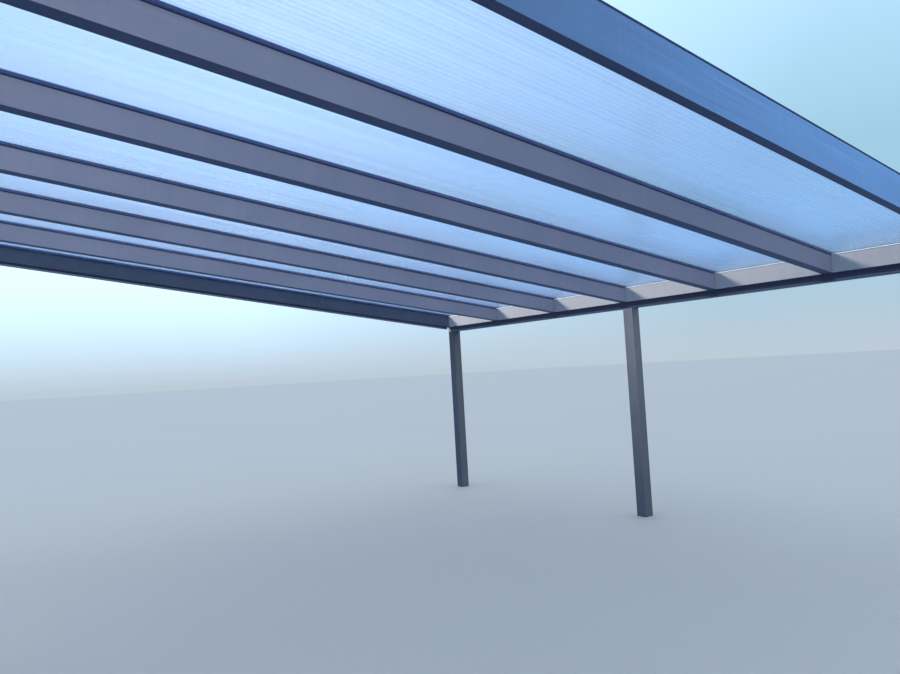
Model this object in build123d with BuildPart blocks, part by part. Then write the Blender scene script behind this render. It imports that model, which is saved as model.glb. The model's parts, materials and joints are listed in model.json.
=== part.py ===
from build123d import *
import math
import os

os.makedirs("parts", exist_ok=True)

# Carport with a lean-to roof. Anthracite aluminium frame, clear multi-wall roof sheets.
# All sizes are in millimetres. +Z is up, +X points down the slope towards the gutter and
# +Y runs along the gutter from left to right as seen from outside the gutter.
# The origin lies on the ground in the middle of the outer box.

# Layout of the roof
BAYS = 6
BAY_PITCH = 1000.0
ROOF_SLOPE = 7.33
RAFTER_RUN = 5600.0
CLEAR_HEIGHT = 2148.0

# Posts
POST_SIZE = 110.0
POST_WALL = 3.0
POST_CORNER = 4.0
POST_FOOT_PLATE = 8.0
POST_EVERY = 3

# Rafter section
RAFTER_WIDTH = 80.0
RAFTER_DEPTH = 137.0
RAFTER_WALL = 3.0
RAFTER_CORNER = 2.0
RAFTER_WEB_HEIGHT = 66.0
SEAT_WIDTH = 70.0
SEAT_HEIGHT = 5.0
SEAT_RAIL = 10.0
SCREW_SLOT_WIDTH = 5.0
SCREW_SLOT_DEPTH = 16.0
SCREW_BOSS_WALL = 2.5

# Roof sheets
SHEET_THICKNESS = 16.0
SHEET_CHAMBER = 32.0
SHEET_SKIN = 1.0
SHEET_RIB = 0.7
SHEET_GAP = 20.0
SHEET_OVERHANG = 62.0

# Caps over the rafters and channels over the sheets' lower ends
CAP_WIDTH = 80.0
CAP_CROWN = 12.0
CAP_EDGE = 5.0
CAP_PLATE = 2.5
CAP_FOOT = 4.0
CAP_LEG_WIDTH = 8.0
CAP_OVERHANG = 30.0
END_CLEARANCE = 0.5
FIT_CLEARANCE = 0.2
END_PROFILE_WALL = 1.5
END_PROFILE_LEG = 25.0
END_PROFILE_DRIP = 9.0

# Side covers on the two outer rafters
COVER_PLATE = 3.0
COVER_WALL = 2.0
COVER_DROP = 27.0
COVER_RISE = 8.0
COVER_LIP_WIDTH = 34.0
COVER_LEDGE_WIDTH = 30.0

# Gutter beam
GUTTER_LEDGE = 58.0
GUTTER_WALL = 4.0
GUTTER_BOX_DEPTH = 59.0
GUTTER_FRONT_HEIGHT = 118.0
GUTTER_BEAD = 12.0
GUTTER_CORNER = 5.0

# Outlet of the gutter
OUTLET_NECK = 78.0
OUTLET_SPIGOT = 75.0
OUTLET_BORE = 71.0
OUTLET_FLANGE = 8.0
OUTLET_FLANGE_THICKNESS = 2.0
OUTLET_DROP = 45.0
OUTLET_FROM_POST = 90.0

# Upper beam
BEAM_WALL = 4.0
BEAM_DROP = 59.0
BEAM_CORNER = 4.0
BEAM_NOSE = 60.0
BEAM_NOSE_THICKNESS = 4.0

# Plates that close the ends of both beams
BEAM_END_PLATE = 3.0
BEAM_END_OVERLAP = 15.0

# Sizes that follow from the ones above
slope_rad = math.radians(ROOF_SLOPE)
slope_tan = math.tan(slope_rad)
slope_cos = math.cos(slope_rad)
slope_sin = math.sin(slope_rad)
down_slope = Vector(slope_cos, 0, -slope_sin)
up_slope = Vector(-slope_cos, 0, slope_sin)


def plumb(thickness):
    # height of a sloping layer measured straight up instead of square to the roof
    return thickness / slope_cos


gutter_width = GUTTER_LEDGE + POST_SIZE
beam_width = POST_SIZE
low_face_x = (RAFTER_RUN + beam_width - gutter_width) / 2
high_face_x = low_face_x - RAFTER_RUN
high_underside = CLEAR_HEIGHT + RAFTER_RUN * slope_tan
rafter_count = BAYS + 1
rafter_length = RAFTER_RUN / slope_cos
seat_top = RAFTER_DEPTH + SEAT_HEIGHT
cap_top = seat_top + plumb(SHEET_THICKNESS + CAP_CROWN)
half_roof = BAYS * BAY_PITCH / 2
beam_length = 2 * half_roof + RAFTER_WIDTH + 2 * BEAM_END_OVERLAP
sheet_width = BAY_PITCH - SHEET_GAP
rafter_y = [index * BAY_PITCH - half_roof for index in range(rafter_count)]
bay_y = [y + BAY_PITCH / 2 for y in rafter_y[:-1]]
post_y = rafter_y[::POST_EVERY]
side_names = ["left", "middle", "right"]


def low_section(y):
    # upright working plane across a rafter, where it meets the gutter beam
    return Plane(origin=(low_face_x, y, CLEAR_HEIGHT), x_dir=(0, 1, 0), z_dir=(1, 0, 0))


def roof_section(y, distance):
    # working plane square to the roof, its middle on the sheets' underside
    start = Vector(low_face_x, y, CLEAR_HEIGHT + seat_top) + down_slope * distance
    return Plane(origin=start, x_dir=(0, 1, 0), z_dir=down_slope)


def save(piece, label):
    piece.part.label = label
    export_step(piece.part, "parts/" + label + ".step")


# Posts
# Square hollow posts with softly rounded edges. Each one stands on a welded foot plate
# that sits flush inside the tube, and its open top carries a beam.
def make_post(x, y, height):
    with BuildPart() as post:
        with BuildSketch(Plane.XY):
            with Locations((x, y)):
                RectangleRounded(POST_SIZE, POST_SIZE, POST_CORNER)
        extrude(amount=height)
        with BuildSketch(Plane.XY.offset(POST_FOOT_PLATE)):
            with Locations((x, y)):
                Rectangle(POST_SIZE - 2 * POST_WALL, POST_SIZE - 2 * POST_WALL)
        extrude(amount=height, mode=Mode.SUBTRACT)
    return post


low_post_x = low_face_x + GUTTER_LEDGE + POST_SIZE / 2
high_post_x = high_face_x - POST_SIZE / 2
low_post_height = CLEAR_HEIGHT - GUTTER_BOX_DEPTH
high_post_height = high_underside - BEAM_DROP
for index, side in enumerate(side_names):
    save(make_post(low_post_x, post_y[index], low_post_height), "gutter_post_" + side)
    save(make_post(high_post_x, post_y[index], high_post_height), "high_post_" + side)


# Rafters
# One drawn section: two hollow chambers with a web between them, two rails on top as seats
# for the sheets, and between the rails a boss with the slot for the cap's screws. The
# channels beside the boss lead any water down to the gutter.
def make_rafter(y):
    boss_width = SCREW_SLOT_WIDTH + 2 * SCREW_BOSS_WALL
    chamber_width = RAFTER_WIDTH - 2 * RAFTER_WALL
    lower_height = RAFTER_WEB_HEIGHT - 1.5 * RAFTER_WALL
    upper_bottom = RAFTER_WEB_HEIGHT + RAFTER_WALL / 2
    upper_height = RAFTER_DEPTH - RAFTER_WALL - upper_bottom
    with BuildPart() as rafter:
        with BuildSketch(low_section(y)):
            RectangleRounded(RAFTER_WIDTH, RAFTER_DEPTH, RAFTER_CORNER, align=(Align.CENTER, Align.MIN))
            with Locations((0, RAFTER_WALL)):
                Rectangle(chamber_width, lower_height, align=(Align.CENTER, Align.MIN), mode=Mode.SUBTRACT)
            with Locations((0, upper_bottom)):
                Rectangle(chamber_width, upper_height, align=(Align.CENTER, Align.MIN), mode=Mode.SUBTRACT)
            with Locations((0, seat_top)):
                with GridLocations(SEAT_WIDTH - SEAT_RAIL, 0, 2, 1):
                    Rectangle(SEAT_RAIL, SEAT_HEIGHT + RAFTER_WALL, align=(Align.CENTER, Align.MAX))
                Rectangle(boss_width, SCREW_SLOT_DEPTH + SCREW_BOSS_WALL, align=(Align.CENTER, Align.MAX))
                Rectangle(
                    SCREW_SLOT_WIDTH,
                    SCREW_SLOT_DEPTH,
                    align=(Align.CENTER, Align.MAX),
                    mode=Mode.SUBTRACT,
                )
        extrude(amount=rafter_length, dir=up_slope)
    return rafter


for index, y in enumerate(rafter_y):
    save(make_rafter(y), "rafter_" + str(index + 1))


# Roof sheets
# One sheet per bay, with thin skins and upright ribs that form a row of long chambers. It
# lies on the rails of two rafters, starts close to the upper beam and ends over the gutter.
def make_roof_sheet(y):
    chamber_count = int(sheet_width // SHEET_CHAMBER)
    chamber_pitch = (sheet_width - SHEET_RIB) / chamber_count
    with BuildPart() as roof_sheet:
        with BuildSketch(roof_section(y, END_CLEARANCE - rafter_length)):
            Rectangle(sheet_width, SHEET_THICKNESS, align=(Align.CENTER, Align.MIN))
            with Locations((0, SHEET_THICKNESS / 2)):
                with GridLocations(chamber_pitch, 0, chamber_count, 1):
                    Rectangle(chamber_pitch - SHEET_RIB, SHEET_THICKNESS - 2 * SHEET_SKIN, mode=Mode.SUBTRACT)
        extrude(amount=rafter_length - END_CLEARANCE + SHEET_OVERHANG)
    return roof_sheet


for index, y in enumerate(bay_y):
    save(make_roof_sheet(y), "roof_sheet_" + str(index + 1))


# Glazing caps
# A shallow arch as wide as the rafter. Its turned-down feet press on two sheets, and a leg
# between the sheets stands on the rafter's boss and takes the screws.
def make_cap(y):
    half = CAP_WIDTH / 2
    edge_top = SHEET_THICKNESS + CAP_EDGE
    edge_inside = edge_top - CAP_PLATE
    crown_top = SHEET_THICKNESS + CAP_CROWN
    crown_inside = crown_top - CAP_PLATE
    inner_half = half - CAP_FOOT
    with BuildPart() as cap:
        with BuildSketch(roof_section(y, END_CLEARANCE - rafter_length)):
            with BuildLine():
                ThreePointArc((-half, edge_top), (0, crown_top), (half, edge_top))
                Polyline(
                    (half, edge_top),
                    (half, SHEET_THICKNESS),
                    (inner_half, SHEET_THICKNESS),
                    (inner_half, edge_inside),
                )
                ThreePointArc((inner_half, edge_inside), (0, crown_inside), (-inner_half, edge_inside))
                Polyline(
                    (-inner_half, edge_inside),
                    (-inner_half, SHEET_THICKNESS),
                    (-half, SHEET_THICKNESS),
                    (-half, edge_top),
                )
            make_face()
            with Locations((0, crown_top - CAP_PLATE / 2)):
                Rectangle(CAP_LEG_WIDTH, crown_top - CAP_PLATE / 2, align=(Align.CENTER, Align.MAX))
        extrude(amount=rafter_length - END_CLEARANCE + CAP_OVERHANG)
    return cap


for index, y in enumerate(rafter_y):
    save(make_cap(y), "glazing_cap_" + str(index + 1))


# Sheet end profiles
# A thin channel pushed over the lower end of each sheet, with a drip edge that hangs into
# the gutter.
def make_end_profile(y):
    inner_end = SHEET_OVERHANG + FIT_CLEARANCE
    outer_end = inner_end + END_PROFILE_WALL
    leg_start = outer_end - END_PROFILE_LEG
    under = -FIT_CLEARANCE
    over = SHEET_THICKNESS + FIT_CLEARANCE
    side_plane = Plane(origin=(low_face_x, y, CLEAR_HEIGHT + seat_top), x_dir=down_slope, z_dir=(0, -1, 0))
    with BuildPart() as end_profile:
        with BuildSketch(side_plane):
            with BuildLine():
                Polyline(
                    (leg_start, under),
                    (inner_end, under),
                    (inner_end, over),
                    (leg_start, over),
                    (leg_start, over + END_PROFILE_WALL),
                    (outer_end, over + END_PROFILE_WALL),
                    (outer_end, under - END_PROFILE_DRIP),
                    (inner_end, under - END_PROFILE_DRIP),
                    (inner_end, under - END_PROFILE_WALL),
                    (leg_start, under - END_PROFILE_WALL),
                    close=True,
                )
            make_face()
        extrude(amount=sheet_width / 2, both=True)
    return end_profile


for index, y in enumerate(bay_y):
    save(make_end_profile(y), "sheet_end_profile_" + str(index + 1))


# Side covers
# A tall face plate outside the outer rafter. Its hollow lip grips under the rafter and its
# hollow ledge fills the outer half of the seat, where no sheet lies.
def make_side_cover(y, outward):
    face = outward * RAFTER_WIDTH / 2
    lip_middle = face - outward * COVER_LIP_WIDTH / 2
    ledge_middle = face - outward * COVER_LEDGE_WIDTH / 2
    ledge_height = plumb(SHEET_THICKNESS)
    plate_height = COVER_DROP + seat_top + plumb(SHEET_THICKNESS + COVER_RISE)
    with BuildPart() as side_cover:
        with BuildSketch(low_section(y)):
            with Locations((face + outward * COVER_PLATE / 2, -COVER_DROP)):
                Rectangle(COVER_PLATE, plate_height, align=(Align.CENTER, Align.MIN))
            with Locations((lip_middle, -COVER_DROP / 2)):
                Rectangle(COVER_LIP_WIDTH, COVER_DROP)
                Rectangle(COVER_LIP_WIDTH - 2 * COVER_WALL, COVER_DROP - 2 * COVER_WALL, mode=Mode.SUBTRACT)
            with Locations((ledge_middle, seat_top + ledge_height / 2)):
                Rectangle(COVER_LEDGE_WIDTH, ledge_height)
                Rectangle(
                    COVER_LEDGE_WIDTH - 2 * COVER_WALL,
                    ledge_height - 2 * COVER_WALL,
                    mode=Mode.SUBTRACT,
                )
        extrude(amount=rafter_length, dir=up_slope)
    return side_cover


save(make_side_cover(rafter_y[0], -1), "side_cover_left")
save(make_side_cover(rafter_y[-1], 1), "side_cover_right")

# Gutter beam
# One hollow section along the low side: an open trough for the water with a ledge beside the
# rafters' ends, and a closed box below it that carries the roof from post to post. Notches in
# the trough's inner wall let the rafters' channels drain, and one hole takes the outlet.
gutter_plane = Plane.XZ.shift_origin((low_face_x, 0, CLEAR_HEIGHT))
wall_top_outer = seat_top - GUTTER_WALL * slope_tan
outlet_y = post_y[0] + POST_SIZE / 2 + OUTLET_FROM_POST
outlet_hole_depth = GUTTER_WALL + GUTTER_BOX_DEPTH
with BuildPart() as gutter_beam:
    with BuildSketch(gutter_plane):
        with BuildLine():
            Polyline(
                (0, 0),
                (GUTTER_LEDGE, 0),
                (GUTTER_LEDGE, -GUTTER_BOX_DEPTH),
                (gutter_width, -GUTTER_BOX_DEPTH),
                (gutter_width, GUTTER_FRONT_HEIGHT),
                (gutter_width - GUTTER_BEAD, GUTTER_FRONT_HEIGHT),
                (gutter_width - GUTTER_BEAD, GUTTER_FRONT_HEIGHT - GUTTER_WALL),
                (gutter_width - GUTTER_WALL, GUTTER_FRONT_HEIGHT - GUTTER_WALL),
                (gutter_width - GUTTER_WALL, GUTTER_WALL),
                (GUTTER_WALL, GUTTER_WALL),
                (GUTTER_WALL, wall_top_outer),
                (0, seat_top),
                close=True,
            )
        make_face()
        fillet(vertices().group_by(Axis.Y)[0], GUTTER_CORNER)
        with Locations((GUTTER_LEDGE + POST_SIZE / 2, 0)):
            Rectangle(
                POST_SIZE - 2 * GUTTER_WALL,
                GUTTER_BOX_DEPTH - GUTTER_WALL,
                align=(Align.CENTER, Align.MAX),
                mode=Mode.SUBTRACT,
            )
    extrude(amount=beam_length / 2, both=True)
    with Locations([(low_face_x + GUTTER_WALL / 2, y, CLEAR_HEIGHT + seat_top) for y in rafter_y]):
        Box(
            2 * GUTTER_WALL,
            SEAT_WIDTH - 2 * SEAT_RAIL,
            2 * SEAT_HEIGHT,
            mode=Mode.SUBTRACT,
        )
    with Locations((low_post_x, outlet_y, CLEAR_HEIGHT + GUTTER_WALL)):
        Hole(OUTLET_NECK / 2 + FIT_CLEARANCE, depth=2 * outlet_hole_depth)
save(gutter_beam, "gutter_beam")

# Gutter outlet
# A flanged tube through the trough's floor and the box below it. A downpipe is pushed over
# its lower end, which is a little narrower.
outlet_origin = (low_post_x, outlet_y, CLEAR_HEIGHT + GUTTER_WALL)
outlet_plane = Plane(origin=outlet_origin, x_dir=(1, 0, 0), z_dir=(0, -1, 0))
with BuildPart() as gutter_outlet:
    with BuildSketch(outlet_plane):
        with BuildLine():
            Polyline(
                (OUTLET_BORE / 2, OUTLET_FLANGE_THICKNESS),
                (OUTLET_NECK / 2 + OUTLET_FLANGE, OUTLET_FLANGE_THICKNESS),
                (OUTLET_NECK / 2 + OUTLET_FLANGE, 0),
                (OUTLET_NECK / 2, 0),
                (OUTLET_NECK / 2, -outlet_hole_depth),
                (OUTLET_SPIGOT / 2, -outlet_hole_depth),
                (OUTLET_SPIGOT / 2, -outlet_hole_depth - OUTLET_DROP),
                (OUTLET_BORE / 2, -outlet_hole_depth - OUTLET_DROP),
                close=True,
            )
        make_face()
    revolve(axis=Axis((low_post_x, outlet_y, 0), (0, 0, 1)))
save(gutter_outlet, "gutter_outlet")

# Upper beam
# A tall hollow box with two webs along the high side. A nose on its top edge leans over the
# upper ends of the caps and sheets.
beam_plane = Plane.XZ.shift_origin((high_face_x, 0, high_underside))
beam_top = cap_top + BEAM_NOSE_THICKNESS
nose_drop = BEAM_NOSE * slope_tan
high_beam_outline = [
    (0, -BEAM_DROP),
    (0, cap_top),
    (BEAM_NOSE, cap_top - nose_drop),
    (BEAM_NOSE, beam_top - nose_drop),
    (0, beam_top),
    (-beam_width, beam_top),
    (-beam_width, -BEAM_DROP),
]
web_levels = [-BEAM_DROP + BEAM_WALL / 2, 0, RAFTER_WEB_HEIGHT, beam_top - BEAM_WALL / 2]
with BuildPart() as high_beam:
    with BuildSketch(beam_plane):
        with BuildLine():
            Polyline(*high_beam_outline, close=True)
        make_face()
        fillet(vertices().group_by(Axis.Y)[0], BEAM_CORNER)
        fillet(vertices().group_by(Axis.Y)[-1].sort_by(Axis.X)[0], BEAM_CORNER)
        for lower, upper in zip(web_levels[:-1], web_levels[1:]):
            with Locations((-beam_width / 2, (lower + upper) / 2)):
                Rectangle(beam_width - 2 * BEAM_WALL, upper - lower - BEAM_WALL, mode=Mode.SUBTRACT)
    extrude(amount=beam_length / 2, both=True)
save(high_beam, "high_beam")

# Beam end caps
# Flat plates with the outline of each beam that close the trough and the hollow boxes.
for side, outer_end in (("left", -beam_length / 2), ("right", beam_length / 2 + BEAM_END_PLATE)):
    with BuildPart() as gutter_end_cap:
        with BuildSketch(gutter_plane.offset(-outer_end)):
            with BuildLine():
                Polyline(
                    (0, 0),
                    (GUTTER_LEDGE, 0),
                    (GUTTER_LEDGE, -GUTTER_BOX_DEPTH),
                    (gutter_width, -GUTTER_BOX_DEPTH),
                    (gutter_width, GUTTER_FRONT_HEIGHT),
                    (0, seat_top),
                    close=True,
                )
            make_face()
            fillet(vertices().group_by(Axis.Y)[0], GUTTER_CORNER)
        extrude(amount=BEAM_END_PLATE)
    save(gutter_end_cap, "gutter_end_cap_" + side)
    with BuildPart() as high_beam_end_cap:
        with BuildSketch(beam_plane.offset(-outer_end)):
            with BuildLine():
                Polyline(*high_beam_outline, close=True)
            make_face()
            fillet(vertices().group_by(Axis.Y)[0], BEAM_CORNER)
            fillet(vertices().group_by(Axis.Y)[-1].sort_by(Axis.X)[0], BEAM_CORNER)
        extrude(amount=BEAM_END_PLATE)
    save(high_beam_end_cap, "high_beam_end_cap_" + side)
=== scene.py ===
# %% [markdown]
# # An open carport in Blender
# The carport's load-bearing pieces come as a fixed frame: hollow rafters, beams, posts and
# chambered roof sheets, each one its own object. Blender adds the finish of every surface and
# the small parts that such a roof has, such as seals and screws. Loading the frame first
# means that every later size can be read from it instead of being typed in twice.

# %% Load the frame
import bpy
import bmesh
import json
import math
from mathutils import Matrix, Quaternion, Vector


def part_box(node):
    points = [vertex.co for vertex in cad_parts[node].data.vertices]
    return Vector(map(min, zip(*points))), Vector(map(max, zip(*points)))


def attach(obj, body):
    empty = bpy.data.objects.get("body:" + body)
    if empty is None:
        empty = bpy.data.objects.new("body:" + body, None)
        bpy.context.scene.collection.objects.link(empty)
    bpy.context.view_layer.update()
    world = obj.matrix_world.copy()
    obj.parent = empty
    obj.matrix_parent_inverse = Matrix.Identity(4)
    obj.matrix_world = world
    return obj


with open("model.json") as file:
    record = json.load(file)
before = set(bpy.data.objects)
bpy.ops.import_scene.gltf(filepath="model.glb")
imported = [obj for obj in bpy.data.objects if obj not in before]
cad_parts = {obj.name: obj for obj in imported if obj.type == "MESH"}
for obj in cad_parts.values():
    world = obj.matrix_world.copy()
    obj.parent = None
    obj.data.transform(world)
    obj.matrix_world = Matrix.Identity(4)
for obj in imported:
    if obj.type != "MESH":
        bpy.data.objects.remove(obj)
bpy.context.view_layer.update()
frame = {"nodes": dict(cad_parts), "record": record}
nodes = frame["nodes"]

# %% [markdown]
# Every small part of the roof lies along the slope, so a second set of axes helps: one axis
# down the slope, one along the gutter and one square to the sheets, with its origin where the
# sheets' underside meets the gutter's inner face. A matrix built once from the rafter's box
# turns such simple places into the carport's own frame, and no piece needs a tilted size.

# %% Sizes read from the frame
# in metres: the first two stand upright over the rafter, the others follow the roof's own axes
SEAT_TOP = 0.142
SEAT_SEAL_HEIGHT = 0.005
RAFTER_HALF = 0.040
SHEET_THICKNESS = 0.016
CAP_CROWN = 0.012
CAP_EDGE = 0.005
CAP_OVERHANG = 0.030

rafter_low, rafter_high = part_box("rafter_1")
low_face_x = rafter_high.x
high_face_x = rafter_low.x
clear_height = rafter_low.z
slope = math.atan((rafter_high.z - rafter_low.z - SEAT_TOP) / (low_face_x - high_face_x))
rafter_length = (low_face_x - high_face_x) / math.cos(slope)
rafter_count = sum(name.startswith("rafter_") for name in nodes)
rafter_y = [sum(corner.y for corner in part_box(f"rafter_{i + 1}")) / 2 for i in range(rafter_count)]
last = rafter_count - 1
cap_crown_up = SHEET_THICKNESS + CAP_CROWN
roof_origin = Vector((low_face_x, 0, clear_height + SEAT_TOP))
roof_space = Matrix.Translation(roof_origin) @ Matrix.Rotation(slope, 4, "Y")
print("slope", round(math.degrees(slope), 2), "degrees, rafters at", [round(y, 2) for y in rafter_y])

# %% [markdown]
# The camera stands beside the near outer rafter at eye height and looks across the bays
# towards the gutter's far corner. Its heading, tilt and roll were found from the directions
# of the rafters, the gutter and the posts. A rotation built from three plain angles is easier
# to read and to correct than a matrix of numbers.

# %% Camera
EYE = Vector((-2.801, -4.560, 1.564))
HEADING = math.radians(53.44)
TILT = math.radians(2.75)
ROLL = math.radians(3.29)
LENS_MM = 27.8
SENSOR_MM = 36.0
NEAREST = 0.05
FURTHEST = 400.0


def look(heading, tilt, roll):
    # a turn that points a camera along the heading, then tilts and rolls it
    level = Vector((math.cos(heading), math.sin(heading), math.tan(tilt)))
    return level.to_track_quat("-Z", "Y") @ Quaternion((0, 0, -1), roll)


camera_data = bpy.data.cameras.new("eye_height_camera")
camera_data.lens = LENS_MM
camera_data.sensor_width = SENSOR_MM
camera_data.sensor_fit = "HORIZONTAL"
camera_data.clip_start = NEAREST
camera_data.clip_end = FURTHEST
camera = bpy.data.objects.new("eye_height_camera", camera_data)
camera.location = EYE
camera.rotation_mode = "QUATERNION"
camera.rotation_quaternion = look(HEADING, TILT, ROLL)
bpy.context.scene.collection.objects.link(camera)
bpy.context.scene.camera = camera
print("camera at", tuple(round(v, 2) for v in EYE))

# %% [markdown]
# Materials are small node trees. The helpers below add a node with its settings in one line
# and make the inputs of a node group, so that each tree reads as a short list of steps.
# Numbers that stay the same over a whole surface are typed into the shader's own sockets.

# %% Helpers for node trees
def add_node(tree, kind, inputs=None, **settings):
    # a node with its settings, and with values or links for its input sockets
    node = tree.nodes.new(kind)
    for name, value in settings.items():
        setattr(node, name, value)
    for name, value in (inputs or {}).items():
        if isinstance(value, bpy.types.NodeSocket):
            tree.links.new(value, node.inputs[name])
        else:
            node.inputs[name].default_value = value
    return node


def calculate(tree, operation, first, second=0.5, clamp=False):
    # one calculation with two values or links
    inputs = {0: first, 1: second}
    node = add_node(tree, "ShaderNodeMath", inputs, operation=operation, use_clamp=clamp)
    return node.outputs[0]


def remap(tree, value, low, high, new_low=0.0, new_high=1.0):
    # moves a value from one range to another and keeps it inside
    inputs = {"Value": value, "From Min": low, "From Max": high, "To Min": new_low, "To Max": new_high}
    return add_node(tree, "ShaderNodeMapRange", inputs).outputs["Result"]


def blend_colours(tree, share, first, second):
    # the first colour at a share of 0, the second at a share of 1
    node = add_node(tree, "ShaderNodeMix", data_type="RGBA")
    for socket, value in ((node.inputs[0], share), (node.inputs[6], first), (node.inputs[7], second)):
        if isinstance(value, bpy.types.NodeSocket):
            tree.links.new(value, socket)
        else:
            socket.default_value = value
    return node.outputs[2]


def new_group(name, inputs, outputs):
    # a shader node group with named value or vector inputs and value outputs
    tree = bpy.data.node_groups.new(name, "ShaderNodeTree")
    for label, default in inputs:
        kind = "NodeSocketVector" if default is None else "NodeSocketFloat"
        socket = tree.interface.new_socket(label, in_out="INPUT", socket_type=kind)
        if default is not None:
            socket.default_value = default
    for label in outputs:
        tree.interface.new_socket(label, in_out="OUTPUT", socket_type="NodeSocketFloat")
    entry = add_node(tree, "NodeGroupInput").outputs
    leave = add_node(tree, "NodeGroupOutput").inputs
    return tree, entry, leave


def use_group(tree, group, **inputs):
    # places a group in a tree, with values or links for its named inputs
    node = add_node(tree, "ShaderNodeGroup", node_tree=group)
    for name, value in inputs.items():
        socket = node.inputs[name.replace("_", " ")]
        if isinstance(value, bpy.types.NodeSocket):
            tree.links.new(value, socket)
        else:
            socket.default_value = value
    return node.outputs


def new_material(name):
    # a material, its node tree, its Principled shader and the object's own coordinates
    material = bpy.data.materials.new(name)
    material.use_nodes = True
    tree = material.node_tree
    places = add_node(tree, "ShaderNodeTexCoord").outputs
    return material, tree, tree.nodes["Principled BSDF"], places


print("node helpers ready")

# %% [markdown]
# Four effects are used by several finishes, so each is a node group that is built once. The
# first is the skin of a moulded or sprayed surface: a fine grain for the bump and a slow,
# cloudy drift in tone. The second is dust, which settles on what faces the sky. The third is
# rain, which leaves faint upright runs on what stands upright. The fourth is the fine lines
# that a drawn length keeps from the die it was pressed through.

# %% Shared effect: surface grain
PEEL_SHARE = 0.22


def build_surface_grain():
    # entry: 0 place, 1 grain scale, 2 drift scale
    inputs = [("Place", None), ("Grain Scale", 700.0), ("Drift Scale", 1.5)]
    tree, entry, leave = new_group("surface_grain", inputs, ["Height", "Drift"])
    fine = add_node(tree, "ShaderNodeTexNoise", {"Vector": entry[0], "Scale": entry[1], "Detail": 2.0})
    peel_scale = calculate(tree, "MULTIPLY", entry[1], PEEL_SHARE)
    peel = add_node(tree, "ShaderNodeTexNoise", {"Vector": entry[0], "Scale": peel_scale, "Detail": 1.0})
    slow = add_node(tree, "ShaderNodeTexNoise", {"Vector": entry[0], "Scale": entry[2], "Detail": 3.0})
    height = calculate(tree, "ADD", fine.outputs[0], peel.outputs[0])
    tree.links.new(height, leave["Height"])
    tree.links.new(slow.outputs[0], leave["Drift"])
    return tree


surface_grain = build_surface_grain()
print("made", surface_grain.name)

# %% Shared effect: settled dust
STEEPEST_DUSTY = 0.35
FULLY_DUSTY = 0.95
PATCH_EDGE = 0.35
PATCH_FULL = 0.7


def build_settled_dust():
    # entry: 0 place, 1 facing, 2 patch scale
    inputs = [("Place", None), ("Facing", None), ("Patch Scale", 6.0)]
    tree, entry, leave = new_group("settled_dust", inputs, ["Dust"])
    upward = add_node(tree, "ShaderNodeSeparateXYZ", {0: entry[1]}).outputs["Z"]
    flat = remap(tree, upward, STEEPEST_DUSTY, FULLY_DUSTY)
    patch = add_node(tree, "ShaderNodeTexNoise", {"Vector": entry[0], "Scale": entry[2], "Detail": 3.0})
    cover = remap(tree, patch.outputs[0], PATCH_EDGE, PATCH_FULL)
    tree.links.new(calculate(tree, "MULTIPLY", flat, cover, clamp=True), leave["Dust"])
    return tree


settled_dust = build_settled_dust()
print("made", settled_dust.name)

# %% Shared effect: rain runs
RUN_STRETCH = 0.9
RUN_EDGE = 0.5
RUN_FULL = 0.72
TOO_FLAT = 0.5
UPRIGHT = 0.1


def build_rain_runs():
    # entry: 0 place, 1 facing, 2 run width
    inputs = [("Place", None), ("Facing", None), ("Run Width", 0.03)]
    tree, entry, leave = new_group("rain_runs", inputs, ["Runs"])
    across = calculate(tree, "DIVIDE", 1.0, entry[2])
    stretch = add_node(tree, "ShaderNodeCombineXYZ", {0: across, 1: across, 2: RUN_STRETCH}).outputs[0]
    spread = add_node(tree, "ShaderNodeVectorMath", {0: entry[0], 1: stretch}, operation="MULTIPLY")
    lines = add_node(tree, "ShaderNodeTexNoise", {"Vector": spread.outputs[0], "Scale": 1.0, "Detail": 2.0})
    upward = add_node(tree, "ShaderNodeSeparateXYZ", {0: entry[1]}).outputs["Z"]
    upright = remap(tree, calculate(tree, "ABSOLUTE", upward), TOO_FLAT, UPRIGHT)
    run = remap(tree, lines.outputs[0], RUN_EDGE, RUN_FULL)
    tree.links.new(calculate(tree, "MULTIPLY", run, upright, clamp=True), leave["Runs"])
    return tree


rain_runs = build_rain_runs()
print("made", rain_runs.name)

# %% Shared effect: die lines
GROOVE = 0.28
RIDGE = 0.72


def build_die_lines():
    # entry: 0 place, 1 stretch along each axis
    tree, entry, leave = new_group("die_lines", [("Place", None), ("Stretch", None)], ["Lines"])
    spread = add_node(tree, "ShaderNodeVectorMath", {0: entry[0], 1: entry[1]}, operation="MULTIPLY")
    lines = add_node(tree, "ShaderNodeTexNoise", {"Vector": spread.outputs[0], "Scale": 1.0, "Detail": 2.0})
    tree.links.new(remap(tree, lines.outputs[0], GROOVE, RIDGE), leave["Lines"])
    return tree


die_lines = build_die_lines()
print("made", die_lines.name)

# %% [markdown]
# The frame is extruded metal with a satin powder coat in anthracite. Sprayed powder melts
# into an even skin with a slight orange-peel ripple, so the bump is tiny and the roughness
# does most of the work. A little dust on top and faint rain runs on the sides keep the long
# plain faces from looking like flat paint.

# %% Anthracite powder coat
COAT_DARK = (0.038, 0.044, 0.058, 1)
COAT_LIGHT = (0.051, 0.057, 0.071, 1)
COAT_GLOSS = 0.4
DUST_COLOUR = (0.30, 0.30, 0.28, 1)
RUN_COLOUR = (0.13, 0.14, 0.15, 1)
# a noise stays mostly within these two values
DRIFT_RANGE = (0.35, 0.65)
CLOUD_SHARE = 0.6
LINE_SHARE = 0.3
RUN_SHARE = 0.05
DUST_SHARE = 0.30
SATIN_ROUGHNESS = (0.58, 0.68)
PEEL_STRENGTH = 0.25
PEEL_DEPTH = 0.0003


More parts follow.
